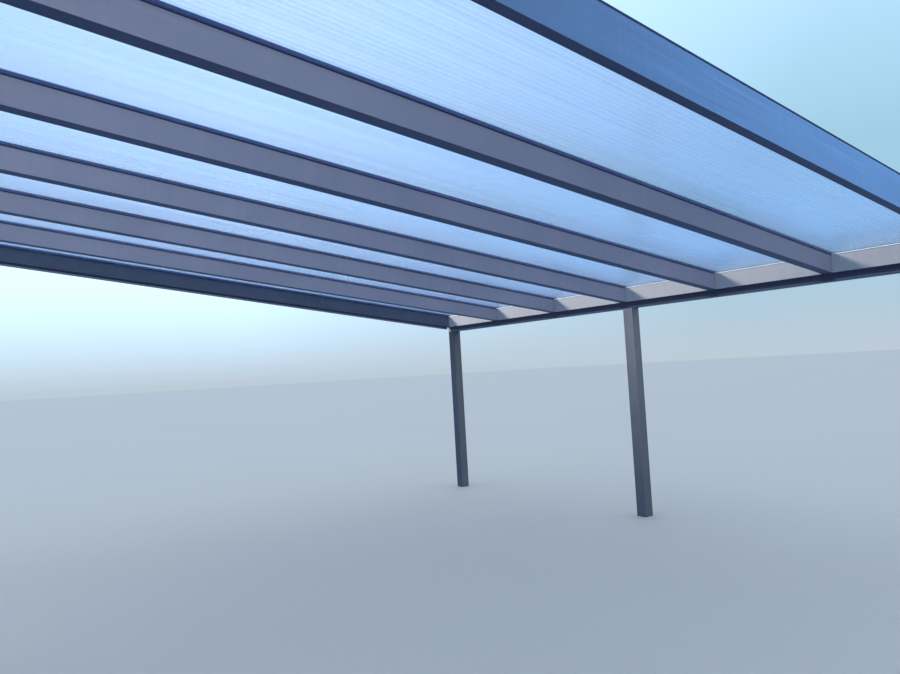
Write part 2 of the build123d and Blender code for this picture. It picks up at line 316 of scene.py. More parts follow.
def build_powder_coat(name, turn, stretch):
    # turn brings the drawn length onto an axis, stretch draws the die lines out along it
    material, tree, shader, places = new_material(name)
    place, facing = places["Object"], places["Normal"]
    turned = add_node(tree, "ShaderNodeMapping", {"Vector": place, "Rotation": (0, turn, 0)}).outputs[0]
    lines = use_group(tree, die_lines, Place=turned, Stretch=stretch)["Lines"]
    grain = use_group(tree, surface_grain, Place=place, Grain_Scale=900.0, Drift_Scale=1.7)
    dust = use_group(tree, settled_dust, Place=place, Facing=facing, Patch_Scale=5.0)["Dust"]
    runs = use_group(tree, rain_runs, Place=place, Facing=facing, Run_Width=0.035)["Runs"]
    cloud = remap(tree, grain["Drift"], *DRIFT_RANGE, 0.0, CLOUD_SHARE)
    line_share = calculate(tree, "MULTIPLY", lines, LINE_SHARE)
    tone = calculate(tree, "ADD", cloud, line_share, clamp=True)
    coat = blend_colours(tree, tone, COAT_DARK, COAT_LIGHT)
    washed = blend_colours(tree, calculate(tree, "MULTIPLY", runs, RUN_SHARE), coat, RUN_COLOUR)
    dust_share = calculate(tree, "MULTIPLY", dust, DUST_SHARE)
    dusty = blend_colours(tree, dust_share, washed, DUST_COLOUR)
    tree.links.new(dusty, shader.inputs["Base Color"])
    shader.inputs["Specular IOR Level"].default_value = COAT_GLOSS
    satin = remap(tree, lines, 0.0, 1.0, *SATIN_ROUGHNESS)
    rough = calculate(tree, "ADD", satin, dust_share, clamp=True)
    tree.links.new(rough, shader.inputs["Roughness"])
    relief = {"Strength": PEEL_STRENGTH, "Distance": PEEL_DEPTH}
    relief["Height"] = calculate(tree, "ADD", grain["Height"], line_share)
    bump = add_node(tree, "ShaderNodeBump", relief)
    tree.links.new(bump.outputs[0], shader.inputs["Normal"])
    return material


# scales of the die lines: many to the metre across the length, and one or so along it
LINE_PITCH = 190.0
LINE_RUN = 1.2
coat_along_slope = build_powder_coat("coat_along_slope", -slope, (LINE_RUN, LINE_PITCH, LINE_PITCH))
coat_along_gutter = build_powder_coat("coat_along_gutter", 0.0, (LINE_PITCH, LINE_RUN, LINE_PITCH))
coat_upright = build_powder_coat("coat_upright", 0.0, (LINE_PITCH, LINE_PITCH, LINE_RUN))
print("made", coat_along_slope.name, coat_along_gutter.name, coat_upright.name)

# %% [markdown]
# The roof sheets are clear multi-wall plastic. A real glass shader would bend every ray at
# four skins and many ribs, which is slow and dark in shade. Alpha keeps each skin mostly
# see-through instead, and the real ribs in the mesh draw the fine lines. Seen at a low angle
# a sheet turns glossy. Fresnel gives the share of light that is mirrored, and only the two
# outer faces take it: on every rib it would show as noise. Shadow rays meet a weaker alpha,
# because a clear roof passes on most of the sunlight. A soft dark band along each edge, where
# a sheet leaves the rafter's seal, is painted shade: it stands for the shadow of the cap and
# the seal seen through the sheet.

# %% Clear multi-wall sheet
SHEET_TINT = (0.31, 0.52, 0.84, 1)
SHEET_HAZE = (0.42, 0.62, 0.90, 1)
RIB_TINT = (0.31, 0.48, 0.74, 1)
SKIN_ALPHA = 0.09
RIB_ALPHA = 0.042
RIB_FACING = (0.4, 0.9)
SHEET_SKIN = 0.001
SHEET_DUST = 0.08
SHEET_ROUGHNESS = (0.22, 0.32)
# the next four values give painted shade: a dark navy band along each rafter edge, for the cap's shadow
EDGE_SHADE_TINT = (0.035, 0.060, 0.125, 1)
EDGE_SHADE_OPACITY = 0.40
EDGE_SHADE_WIDTH = 0.031
EDGE_SHADE_FALL = 2.5
LINE_STRETCH = (0.4, 130.0, 0.0)
LINE_DEPTH = 0.035
MIRROR_TINT = (0.9, 0.95, 1.0, 1)
SHEET_IOR = 1.5
SHADOW_EASE = 0.8
MIDDLE_RANGE = (0.3, 0.7)

sheet_up = Vector((math.sin(slope), 0, math.cos(slope)))
sheet_middle = roof_origin + sheet_up * SHEET_THICKNESS / 2


def build_clear_sheet():
    material, tree, shader, places = new_material("clear_multiwall_sheet")
    place, facing = places["Object"], places["Normal"]
    grain = use_group(tree, surface_grain, Place=place, Grain_Scale=40.0, Drift_Scale=0.9)
    dust = use_group(tree, settled_dust, Place=place, Facing=facing, Patch_Scale=3.0)["Dust"]
    lines = use_group(tree, die_lines, Place=place, Stretch=LINE_STRETCH)["Lines"]
    tint = blend_colours(tree, remap(tree, grain["Drift"], *DRIFT_RANGE), SHEET_TINT, SHEET_HAZE)
    sideways = add_node(tree, "ShaderNodeSeparateXYZ", {0: facing}).outputs["Y"]
    rib = remap(tree, calculate(tree, "ABSOLUTE", sideways), *RIB_FACING)
    clean = blend_colours(tree, rib, tint, RIB_TINT)
    line_share = remap(tree, lines, 0.0, 1.0, -LINE_DEPTH, LINE_DEPTH)
    plain = calculate(tree, "ADD", remap(tree, rib, 0.0, 1.0, SKIN_ALPHA, RIB_ALPHA), line_share)
    dusted = calculate(tree, "ADD", plain, calculate(tree, "MULTIPLY", dust, SHEET_DUST))
    # painted shade along both edges, standing for the shadow of the cap: the distance to the
    # nearest rafter's middle, from a value that runs up and down once from rafter to rafter
    across = add_node(tree, "ShaderNodeSeparateXYZ", {0: place}).outputs["Y"]
    from_first = calculate(tree, "SUBTRACT", across, rafter_y[0])
    beside = calculate(tree, "PINGPONG", from_first, (rafter_y[1] - rafter_y[0]) / 2)
    near_edge = remap(tree, beside, RAFTER_HALF + EDGE_SHADE_WIDTH, RAFTER_HALF)
    # near each edge the sheet's tint turns dark and its haze grows: painted shade of the cap
    body = blend_colours(tree, near_edge, clean, EDGE_SHADE_TINT)
    fading = calculate(tree, "POWER", near_edge, EDGE_SHADE_FALL)
    haze_and_edge_shade = calculate(tree, "ADD", dusted, calculate(tree, "MULTIPLY", fading, EDGE_SHADE_OPACITY))
    # gloss of the two outer faces, found by their height from the sheet's middle
    leaving = add_node(tree, "ShaderNodeNewGeometry").outputs["Backfacing"]
    bend = remap(tree, leaving, 0.0, 1.0, SHEET_IOR, 1 / SHEET_IOR)
    skin_gloss = add_node(tree, "ShaderNodeFresnel", {"IOR": bend}).outputs[0]
    along_up = {0: place, 1: sheet_up}
    height = add_node(tree, "ShaderNodeVectorMath", along_up, operation="DOT_PRODUCT").outputs["Value"]
    over_middle = calculate(tree, "SUBTRACT", height, sheet_up.dot(sheet_middle))
    from_middle = calculate(tree, "ABSOLUTE", over_middle)
    outer = calculate(tree, "GREATER_THAN", from_middle, (SHEET_THICKNESS - SHEET_SKIN) / 2)
    fresnel = calculate(tree, "MULTIPLY", skin_gloss, outer)
    # alpha takes both what the body holds back and what the face mirrors
    see_through = calculate(tree, "SUBTRACT", 1.0, haze_and_edge_shade)
    unmirrored = calculate(tree, "SUBTRACT", 1.0, fresnel)
    passing = calculate(tree, "MULTIPLY", see_through, unmirrored)
    opaque = calculate(tree, "SUBTRACT", 1.0, passing, clamp=True)
    mirror = calculate(tree, "DIVIDE", fresnel, opaque, clamp=True)
    tree.links.new(mirror, shader.inputs["Metallic"])
    tree.links.new(blend_colours(tree, mirror, body, MIRROR_TINT), shader.inputs["Base Color"])
    shadow = add_node(tree, "ShaderNodeLightPath").outputs["Is Shadow Ray"]
    passed_on = calculate(tree, "SUBTRACT", 1.0, calculate(tree, "MULTIPLY", shadow, SHADOW_EASE))
    tree.links.new(calculate(tree, "MULTIPLY", opaque, passed_on), shader.inputs["Alpha"])
    rough = remap(tree, grain["Drift"], *MIDDLE_RANGE, *SHEET_ROUGHNESS)
    tree.links.new(rough, shader.inputs["Roughness"])
    shader.inputs["IOR"].default_value = SHEET_IOR
    return material


clear_sheet = build_clear_sheet()
print("made", clear_sheet.name)

# %% [markdown]
# The small parts need four more finishes: matt black rubber for most seals, a paler rubber
# for the rest seals, brushed stainless steel for the screws and black moulded plastic for the
# plugs and the leaf guard. They differ in a few values only, so one short builder makes all.

# %% Rubber, plastic and steel
SMALL_DRIFT = 9.0
SMALL_PATCH = 40.0
SMALL_DUST = 0.18
SMALL_RELIEF = 0.0002


def build_small_part_finish(name, dark, light, roughness, grain_scale, bump, metallic=0.0, gloss=0.5):
    material, tree, shader, places = new_material(name)
    place, facing = places["Object"], places["Normal"]
    grain = use_group(tree, surface_grain, Place=place, Grain_Scale=grain_scale, Drift_Scale=SMALL_DRIFT)
    dust = use_group(tree, settled_dust, Place=place, Facing=facing, Patch_Scale=SMALL_PATCH)["Dust"]
    tone = blend_colours(tree, remap(tree, grain["Drift"], *MIDDLE_RANGE), dark, light)
    dusty = blend_colours(tree, calculate(tree, "MULTIPLY", dust, SMALL_DUST), tone, DUST_COLOUR)
    tree.links.new(dusty, shader.inputs["Base Color"])
    rough = remap(tree, grain["Drift"], *MIDDLE_RANGE, *roughness)
    tree.links.new(rough, shader.inputs["Roughness"])
    shader.inputs["Metallic"].default_value = metallic
    shader.inputs["Specular IOR Level"].default_value = gloss
    relief = {"Strength": bump, "Distance": SMALL_RELIEF, "Height": grain["Height"]}
    tree.links.new(add_node(tree, "ShaderNodeBump", relief).outputs[0], shader.inputs["Normal"])
    return material


seal_rubber = build_small_part_finish(
    "seal_rubber",
    dark=(0.004, 0.008, 0.020, 1),
    light=(0.008, 0.013, 0.030, 1),
    roughness=(0.70, 0.85),
    grain_scale=1500.0,
    bump=0.4,
    gloss=0.12,
)
black_plastic = build_small_part_finish(
    "black_plastic",
    dark=(0.012, 0.013, 0.015, 1),
    light=(0.022, 0.023, 0.026, 1),
    roughness=(0.35, 0.5),
    grain_scale=1100.0,
    bump=0.3,
)
stainless_steel = build_small_part_finish(
    "stainless_steel",
    dark=(0.46, 0.46, 0.45, 1),
    light=(0.62, 0.62, 0.60, 1),
    roughness=(0.24, 0.38),
    grain_scale=2200.0,
    bump=0.15,
    metallic=1.0,
)
pale_seal = build_small_part_finish(
    "pale_seal",
    dark=(0.17, 0.20, 0.23, 1),
    light=(0.23, 0.26, 0.29, 1),
    roughness=(0.55, 0.7),
    grain_scale=1200.0,
    bump=0.3,
    gloss=0.3,
)
print("made", seal_rubber.name, black_plastic.name, stainless_steel.name, pale_seal.name)

# %% [markdown]
# The record names the material slot of each node, which tells clear sheets and coated metal
# apart. The coat comes in three versions with the same tones, whose die lines follow the
# slope, the gutter or a post. The node's name says which way its length was drawn.

# %% Dress the frame
def finish_of(name):
    if slot_of_node[name] == "clear_multiwall_sheet":
        return clear_sheet
    if "_post_" in name or name == "gutter_outlet":
        return coat_upright
    if name.startswith(("rafter_", "glazing_cap_", "side_cover_")):
        return coat_along_slope
    return coat_along_gutter


slot_of_node = {part["node"]: part["material_slot"] for part in frame["record"]["subparts"]}
for name, node in nodes.items():
    for slot in node.material_slots:
        slot.material = finish_of(name)
print("dressed", len(nodes), "nodes")

# %% [markdown]
# Small parts are made in bmesh. Most of them start as a cube stretched between two corners,
# or as a disc, then get their shape from bevel, inset and extrude. The last helper turns the
# finished bmesh into an object at the origin, with its place in its mesh, and lets it ride
# on the carport's one body.

# %% Helpers for small parts
def stretch_box(bm, low, high):
    # a cube stretched between two opposite corners
    low, high = Vector(low), Vector(high)
    fit = Matrix.Translation((low + high) / 2) @ Matrix.Diagonal((*(high - low), 1))
    return bmesh.ops.create_cube(bm, size=1.0, matrix=fit)["verts"]


def soften(bm, edges, width, segments=2):
    # rounds the given edges over a width
    bmesh.ops.bevel(
        bm, geom=list(edges), offset=width, affect="EDGES", segments=segments, profile=0.5, material=-1
    )


def long_edges(bm, least):
    # the edges that run the whole length of a strip
    return [edge for edge in bm.edges if edge.calc_length() > least]


def new_verts(result):
    # the vertices among what an operator made
    return [item for item in result["geom"] if isinstance(item, bmesh.types.BMVert)]


def repeat(bm, places):
    # what stands at the first place is copied to each further one
    first = bm.verts[:] + bm.faces[:]
    for place in places[1:]:
        copy = bmesh.ops.duplicate(bm, geom=first)
        bmesh.ops.translate(bm, vec=place - places[0], verts=new_verts(copy))


small_parts = []


def make_piece(bm, name, material, space=None, smooth=False):
    # turns a finished bmesh into an object of its own, in the carport's axes
    if space is not None:
        bmesh.ops.transform(bm, matrix=space, verts=bm.verts)
    bmesh.ops.recalc_face_normals(bm, faces=bm.faces)
    mesh = bpy.data.meshes.new(name)
    bm.to_mesh(mesh)
    bm.free()
    mesh.materials.append(material)
    if smooth:
        mesh.shade_smooth()
    piece = bpy.data.objects.new(name, mesh)
    bpy.context.scene.collection.objects.link(piece)
    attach(piece, "root")
    small_parts.append(piece)
    return piece


print("mesh helpers ready")

# %% [markdown]
# A black rubber seal runs along each side of every rafter, between the rafter's top edge and
# the sheet. From below it reads as a thin dark line. Long seals are drawn lengths with one
# section, so a stretched box with softened long edges is all that each one needs. A second,
# thinner lip lies on the sheet beside the cap's foot.

# %% Seals under and over the sheets
SEAL_PROUD = 0.0034
SEAL_INNER = 0.0352
LIP_WIDTH = 0.0035
LIP_HEIGHT = 0.0022
SEAL_ROUND = 0.0006
END_GAP = 0.002
half_rafter = rafter_length / 2

for index, y in enumerate(rafter_y):
    sides = [side for side in (-1, 1) if 0 <= index + side <= last]
    under, over = bmesh.new(), bmesh.new()
    for side in sides:
        edges = sorted((y + side * SEAL_INNER, y + side * (RAFTER_HALF + SEAL_PROUD)))
        stretch_box(
            under,
            (-rafter_length + END_GAP, edges[0], -SEAT_SEAL_HEIGHT * math.cos(slope)),
            (-END_GAP, edges[1], 0),
        )
        edges = sorted((y + side * RAFTER_HALF, y + side * (RAFTER_HALF + LIP_WIDTH)))
        stretch_box(
            over,
            (-rafter_length + END_GAP, edges[0], SHEET_THICKNESS),
            (CAP_OVERHANG, edges[1], SHEET_THICKNESS + LIP_HEIGHT),
        )
    for bm in (under, over):
        soften(bm, long_edges(bm, half_rafter), SEAL_ROUND)
    make_piece(under, f"seat_seal_{index + 1}", seal_rubber, roof_space)
    make_piece(over, f"cap_seal_{index + 1}", seal_rubber, roof_space)
print("seals on", rafter_count, "rafters")

# %% [markdown]
# The sheets' lower ends rest on a pale seal that is clipped to the top edge of the gutter's
# inner face. Where sunlight falls on it, it draws a bright line between the metal and the
# sheet. It runs from rafter to rafter, so each bay has its own short strip.

# %% Rest seals along the gutter
REST_SEAL_HEIGHT = 0.0042
REST_SEAL_DEPTH = 0.0035
REST_SEAL_ROUND = 0.0014
REST_SEAL_END_GAP = 0.004
UNDER_SHEET = 0.0003

# the sheet rises over the seal's depth, so the seal's top meets it halfway
rise = REST_SEAL_DEPTH * math.tan(slope)
top = clear_height + SEAT_TOP + rise / 2 - UNDER_SHEET
seal_middle_x = low_face_x - REST_SEAL_DEPTH / 2
for index in range(last):
    bm = bmesh.new()
    start_y = rafter_y[index] + RAFTER_HALF + REST_SEAL_END_GAP
    end_y = rafter_y[index + 1] - RAFTER_HALF - REST_SEAL_END_GAP
    inner_low = (low_face_x - REST_SEAL_DEPTH, start_y, top - REST_SEAL_HEIGHT)
    stretch_box(bm, inner_low, (low_face_x, end_y, top))
    lengthwise = long_edges(bm, (end_y - start_y) / 2)
    inner = [edge for edge in lengthwise if edge.verts[0].co.x < seal_middle_x]
    soften(bm, inner, REST_SEAL_ROUND, segments=3)
    make_piece(bm, f"rest_seal_{index + 1}", pale_seal)
print("rest seals", last)

# %% [markdown]
# Two more soft strips close the roof's edges. A bead is pushed down over the side cover's top
# edge, so it shows as a dark line along the cover's outer face. A foam strip fills the space
# under the upper beam's nose from cap to cap, so that wind drives no rain over the sheets'
# upper ends.

# %% Edge beads and foam strips
COVER_OUTSIDE = 0.043
COVER_TOP_UP = 0.0240
BEAD_HEIGHT = 0.006
BEAD_GRIP = 0.004
BEAD_INSIDE = 0.0002
BEAD_OUTSIDE = 0.0010
BEAD_ROUND = 0.0012
FOAM_START = 0.036
FOAM_END = 0.056
FOAM_SIDE_GAP = 0.0445
FOAM_ROUND = 0.0015

for side, name in ((-1, "left"), (1, "right")):
    y = rafter_y[0] if side < 0 else rafter_y[-1]
    inside = y + side * (RAFTER_HALF + BEAD_INSIDE)
    outside = y + side * (COVER_OUTSIDE + BEAD_OUTSIDE)
    edges = sorted((inside, outside))
    bm = bmesh.new()
    stretch_box(
        bm,
        (-rafter_length + END_GAP, edges[0], COVER_TOP_UP - BEAD_GRIP),
        (-END_GAP, edges[1], COVER_TOP_UP + BEAD_HEIGHT),
    )
    lengthwise = long_edges(bm, half_rafter)
    upper = [edge for edge in lengthwise if edge.verts[0].co.z > COVER_TOP_UP]
    soften(bm, upper, BEAD_ROUND, segments=3)
    make_piece(bm, f"cover_bead_{name}", seal_rubber, roof_space)

for index in range(last):
    bm = bmesh.new()
    stretch_box(
        bm,
        (-rafter_length + FOAM_START, rafter_y[index] + FOAM_SIDE_GAP, SHEET_THICKNESS),
        (-rafter_length + FOAM_END, rafter_y[index + 1] - FOAM_SIDE_GAP, cap_crown_up),
    )
    soften(bm, bm.edges[:], FOAM_ROUND)
    make_piece(bm, f"nose_foam_{index + 1}", seal_rubber, roof_space)
print("edge beads 2, foam strips", last)

# %% [markdown]
# A row of screws holds each cap down. Every screw has a washer and a rounded pan head with a
# socket. One screw is modelled with care: discs from cones, a softened rim, then the socket
# by inset and extrude. The rest are copies of it down the slope.

# %% Cap screws
SCREW_SPACING = 0.400
FIRST_SCREW = 0.085
WASHER_RADIUS = 0.0080
WASHER_HEIGHT = 0.0016
WASHER_TAPER = 0.0006
WASHER_SIDES = 16
HEAD_RADIUS = 0.0056
HEAD_HEIGHT = 0.0036
HEAD_ROUND = 0.0012
HEAD_SIDES = 12
SOCKET_RADIUS = 0.0029
SOCKET_DEPTH = 0.0020
LEVEL_WITHIN = 1e-6


def add_disc(bm, centre, radius, height, segments, top_radius=None):
    # an upright disc or cone that stands on the given centre
    middle = Matrix.Translation(Vector(centre) + Vector((0, 0, height / 2)))
    bmesh.ops.create_cone(
        bm,
        cap_ends=True,
        segments=segments,
        radius1=radius,
        radius2=radius if top_radius is None else top_radius,
        depth=height,
        matrix=middle,
    )


def lies_at(verts, z):
    # whether an edge or a face lies level at a height
    return all(abs(vert.co.z - z) < LEVEL_WITHIN for vert in verts)


def add_pan_screw(bm, centre):
    # a washer, a rounded head on it, and a socket sunk into the head's top face
    washer_top = WASHER_RADIUS - WASHER_TAPER
    add_disc(bm, centre, WASHER_RADIUS, WASHER_HEIGHT, WASHER_SIDES, washer_top)
    head_base = Vector(centre) + Vector((0, 0, WASHER_HEIGHT))
    add_disc(bm, head_base, HEAD_RADIUS, HEAD_HEIGHT, HEAD_SIDES)
    top_z = head_base.z + HEAD_HEIGHT
    soften(bm, [edge for edge in bm.edges if lies_at(edge.verts, top_z)], HEAD_ROUND)
    top = next(face for face in bm.faces if lies_at(face.verts, top_z))
    rim_width = HEAD_RADIUS - HEAD_ROUND - SOCKET_RADIUS
    bmesh.ops.inset_individual(bm, faces=[top], thickness=rim_width)
    pit = bmesh.ops.extrude_discrete_faces(bm, faces=[top])["faces"]
    bmesh.ops.translate(bm, vec=(0, 0, -SOCKET_DEPTH), verts=pit[0].verts)


screw_count = int((rafter_length - FIRST_SCREW) // SCREW_SPACING) + 1
for index, y in enumerate(rafter_y):
    bm = bmesh.new()
    from_low_end = [FIRST_SCREW + step * SCREW_SPACING for step in range(screw_count)]
    places = [Vector((-distance, y, cap_crown_up)) for distance in from_low_end]
    add_pan_screw(bm, places[0])
    repeat(bm, places)
    make_piece(bm, f"cap_screws_{index + 1}", stainless_steel, roof_space)
print("cap screws", screw_count * rafter_count)

# %% [markdown]
# The open lower end of each cap is closed with a black moulded plug. Its outline is the
# cap's arch: one vertex spun about the arch's centre draws the curve, the curve is drawn down
# to the sheet's top as a flat strip of faces, and extruding them gives the plug its thickness.

# %% Plugs in the caps' lower ends
PLUG_THICKNESS = 0.003
PLUG_STEPS = 10
arch_rise = CAP_CROWN - CAP_EDGE
arch_radius = (RAFTER_HALF**2 + arch_rise**2) / (2 * arch_rise)
arch_angle = 2 * math.asin(RAFTER_HALF / arch_radius)
for index, y in enumerate(rafter_y):
    bm = bmesh.new()
    start = bm.verts.new((CAP_OVERHANG, y - RAFTER_HALF, SHEET_THICKNESS + CAP_EDGE))
    centre = (CAP_OVERHANG, y, cap_crown_up - arch_radius)
    bmesh.ops.spin(bm, geom=[start], cent=centre, axis=(-1, 0, 0), angle=arch_angle, steps=PLUG_STEPS)
    for vert in new_verts(bmesh.ops.extrude_edge_only(bm, edges=bm.edges[:])):
        vert.co.z = SHEET_THICKNESS
    raised = new_verts(bmesh.ops.extrude_face_region(bm, geom=bm.faces[:]))
    bmesh.ops.translate(bm, vec=(PLUG_THICKNESS, 0, 0), verts=raised)
    make_piece(bm, f"cap_plug_{index + 1}", black_plastic, roof_space)
print("plugs", rafter_count)

# %% [markdown]
# Each rafter is held by two hexagon screws that pass through the trough's inner wall into
# the rafter's chambers. Their heads show inside the gutter. A hexagon head is a cone with
# six segments on a round flange, modelled upright and then turned to face along the slope.

# %% Rafter screws in the gutter
WALL_INSIDE = 0.004
HEX_RADIUS = 0.0075
HEX_HEIGHT = 0.0050
HEX_SIDES = 6
FLANGE_RADIUS = 0.0105
FLANGE_HEIGHT = 0.0018
FLANGE_SIDES = 18
HEX_ROUND = 0.0008
RAFTER_SCREW_HEIGHTS = (0.034, 0.100)
face_gutter = Matrix.Rotation(math.radians(90), 4, "Y")
for index, y in enumerate(rafter_y):
    bm = bmesh.new()
    add_disc(bm, (0, 0, 0), FLANGE_RADIUS, FLANGE_HEIGHT, FLANGE_SIDES)
    add_disc(bm, (0, 0, FLANGE_HEIGHT), HEX_RADIUS, HEX_HEIGHT, HEX_SIDES)
    rim = [edge for edge in bm.edges if lies_at(edge.verts, FLANGE_HEIGHT + HEX_HEIGHT)]
    soften(bm, rim, HEX_ROUND, segments=1)
    heights = [clear_height + height for height in RAFTER_SCREW_HEIGHTS]
    places = [Vector((low_face_x + WALL_INSIDE, y, height)) for height in heights]
    bmesh.ops.transform(bm, matrix=Matrix.Translation(places[0]) @ face_gutter, verts=bm.verts)
    repeat(bm, places)
    make_piece(bm, f"rafter_screws_{index + 1}", stainless_steel)
print("rafter screws", 2 * rafter_count)

# %% [markdown]
# A domed guard keeps leaves out of the outlet. It is a cage of thin rods: two rings and eight
# ribs that meet at the top. A small circle spun about an axis gives a ring when the turn is
# full and a rib when it is a quarter turn.

# %% Leaf guard over the outlet
ROD_RADIUS = 0.0016
ROD_SIDES = 6
GUARD_RADIUS = 0.037
GUARD_RIBS = 8
UPPER_RING_SHARE = 0.72
UPPER_RING_LIFT = 0.69
RING_STEPS = 32
UPPER_RING_STEPS = 24
RIB_STEPS = 8
FULL_TURN = 2 * math.pi
outlet_low, outlet_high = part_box("gutter_outlet")
guard_base = (outlet_low + outlet_high) / 2
guard_base.z = outlet_high.z + ROD_RADIUS


def spin_rod(bm, ring_radius, height, axis, angle, steps, turn):
    # a round rod drawn along an arc about the guard's middle
    seat = Matrix.Translation((ring_radius, 0, height)) @ turn
    rod = bmesh.ops.create_circle(bm, cap_ends=False, segments=ROD_SIDES, radius=ROD_RADIUS, matrix=seat)
    edges = list({edge for vert in rod["verts"] for edge in vert.link_edges})
    full = angle >= FULL_TURN
    bmesh.ops.spin(
        bm, geom=rod["verts"] + edges, cent=(0, 0, 0), axis=axis, angle=angle, steps=steps, use_merge=full
    )


bm = bmesh.new()
upright = Matrix.Rotation(math.radians(90), 4, "X")
upper_ring_radius = GUARD_RADIUS * UPPER_RING_SHARE
upper_ring_height = GUARD_RADIUS * UPPER_RING_LIFT
spin_rod(bm, GUARD_RADIUS, 0, (0, 0, 1), FULL_TURN, RING_STEPS, upright)
spin_rod(bm, upper_ring_radius, upper_ring_height, (0, 0, 1), FULL_TURN, UPPER_RING_STEPS, upright)
ring_verts = len(bm.verts)
spin_rod(bm, GUARD_RADIUS, 0, (0, -1, 0), FULL_TURN / 4, RIB_STEPS, Matrix.Identity(4))
rib_verts = bm.verts[:][ring_verts:]
rib_faces = list({face for vert in rib_verts for face in vert.link_faces})
for step in range(1, GUARD_RIBS):
    copy = bmesh.ops.duplicate(bm, geom=rib_verts + rib_faces)
    around = Matrix.Rotation(FULL_TURN * step / GUARD_RIBS, 3, "Z")
    bmesh.ops.rotate(bm, cent=(0, 0, 0), matrix=around, verts=new_verts(copy))
holes = [edge for edge in bm.edges if edge.is_boundary]
bmesh.ops.holes_fill(bm, edges=holes, sides=ROD_SIDES)
make_piece(bm, "leaf_guard", black_plastic, Matrix.Translation(guard_base), smooth=True)
print("leaf guard at", tuple(round(v, 3) for v in guard_base))

# %% [markdown]
# The stage is plain: a pale floor under a pale blue surround. A glossy frame shows what
# stands around it, so the floor sends back other colours than the camera sees on it: a bluer
# one to the undersides above it, and a cooler one to the mirror images in the sheets. Light
# Path tells the kinds of ray apart.

# %% Floor
FLOOR_TONE = (0.60, 0.46, 0.37, 1)
FLOOR_LIGHT = (0.64, 0.49, 0.39, 1)
BOUNCE_TONE = (0.50, 0.40, 0.68, 1)
MIRRORED_TONE = (0.40, 0.50, 0.60, 1)
FLOOR_ROUGHNESS = 0.85
FLOOR_HALF = 250.0
floor_material, floor_tree, floor_shader, floor_places = new_material("pale_floor")
floor_place = floor_places["Object"]
floor_grain = use_group(floor_tree, surface_grain, Place=floor_place, Grain_Scale=60.0, Drift_Scale=0.3)
floor_tone = blend_colours(floor_tree, floor_grain["Drift"], FLOOR_TONE, FLOOR_LIGHT)
floor_path = add_node(floor_tree, "ShaderNodeLightPath").outputs
thrown_back = blend_colours(floor_tree, floor_path["Is Glossy Ray"], BOUNCE_TONE, MIRRORED_TONE)
floor_colour = blend_colours(floor_tree, floor_path["Is Camera Ray"], thrown_back, floor_tone)
floor_tree.links.new(floor_colour, floor_shader.inputs["Base Color"])
floor_shader.inputs["Roughness"].default_value = FLOOR_ROUGHNESS
bm = bmesh.new()
bmesh.ops.create_grid(bm, x_segments=1, y_segments=1, size=FLOOR_HALF)
floor_mesh = bpy.data.meshes.new("floor")
bm.to_mesh(floor_mesh)
bm.free()
floor_mesh.materials.append(floor_material)
floor = bpy.data.objects.new("floor", floor_mesh)
bpy.context.scene.collection.objects.link(floor)
print("floor", 2 * FLOOR_HALF, "m wide")

# %% [markdown]
# The surround is a sky made of blends between five tones, by the direction of the ray: the
# horizon, the sky ahead, the sky to the left, the sky overhead and the sky beside the near
# outer rafter. A few blends are enough, because only the sheets and the glossy coat show it.

# %% Surround
HORIZON = (0.51, 0.60, 0.69, 1)
SKY_AHEAD = (0.36, 0.62, 0.78, 1)
SKY_LEFT = (0.86, 1.23, 1.56, 1)
SKY_HIGH = (0.80, 1.15, 1.58, 1)
SKY_SIDE = (0.32, 0.74, 1.60, 1)
SIDE_SHARE = 0.8
# where one tone turns into the next, as parts of the ray's direction
AHEAD_TO_LEFT = (0.85, 0.35)
HORIZON_TO_LOW = (0.0, 0.14)
LOW_TO_HIGH = (0.25, 0.80)
AHEAD_TO_SIDE = (-0.05, -0.75)
HORIZON_TO_SIDE = (0.0, 0.25)
world = bpy.data.worlds.new("studio")
world.use_nodes = True
sky_tree = world.node_tree
direction = add_node(sky_tree, "ShaderNodeTexCoord").outputs["Generated"]
split = add_node(sky_tree, "ShaderNodeSeparateXYZ", {0: direction}).outputs
turning = remap(sky_tree, split["X"], *AHEAD_TO_LEFT)
around = blend_colours(sky_tree, turning, SKY_AHEAD, SKY_LEFT)
rising = remap(sky_tree, split["Z"], *HORIZON_TO_LOW)
low_sky = blend_colours(sky_tree, rising, HORIZON, around)
climbing = remap(sky_tree, split["Z"], *LOW_TO_HIGH)
full_sky = blend_colours(sky_tree, climbing, low_sky, SKY_HIGH)
sideways = remap(sky_tree, split["Y"], *AHEAD_TO_SIDE, 0.0, SIDE_SHARE)
lifted = remap(sky_tree, split["Z"], *HORIZON_TO_SIDE)
side_share = calculate(sky_tree, "MULTIPLY", sideways, lifted)
sky_colour = blend_colours(sky_tree, side_share, full_sky, SKY_SIDE)
sky_tree.links.new(sky_colour, sky_tree.nodes["Background"].inputs["Color"])
sky_tree.nodes["Background"].inputs["Strength"].default_value = 1.0
bpy.context.scene.world = world
print("surround", world.name)

# %% [markdown]
# Sunlight comes from high beyond the upper beam and falls through the clear sheets on the
# gutter's inner face, where the rafters leave their shadows. The rest of the frame is lit by
# the sky. Each lamp stands for one part of that light and reaches only the pieces that the
# light falls on: light linking gives it a collection of pieces to reach or to leave out. Two
# soft suns light the frame's sides, one lights the near outer face, and a sun and a small area
# lamp under the roof shape the two gutter posts that stand deep in the roof's shade.

# %% Helpers for lamps
ROOF_MIDDLE = Vector((0, 0, 2.5))
KEY_DISTANCE = 25.0
KEY_SIZE = 4.0
SUN_DISTANCE = 12.0
SUN_SPREAD = math.radians(20.0)
UNDER_SIZE = 0.8


def make_light_group(name, members, state):
    # the objects that a lamp reaches, or the ones that it leaves out
    group = bpy.data.collections.new(name)
    for member in members:
        group.objects.link(member)
    for item in group.collection_objects:
        item.light_linking.link_state = state
    return group


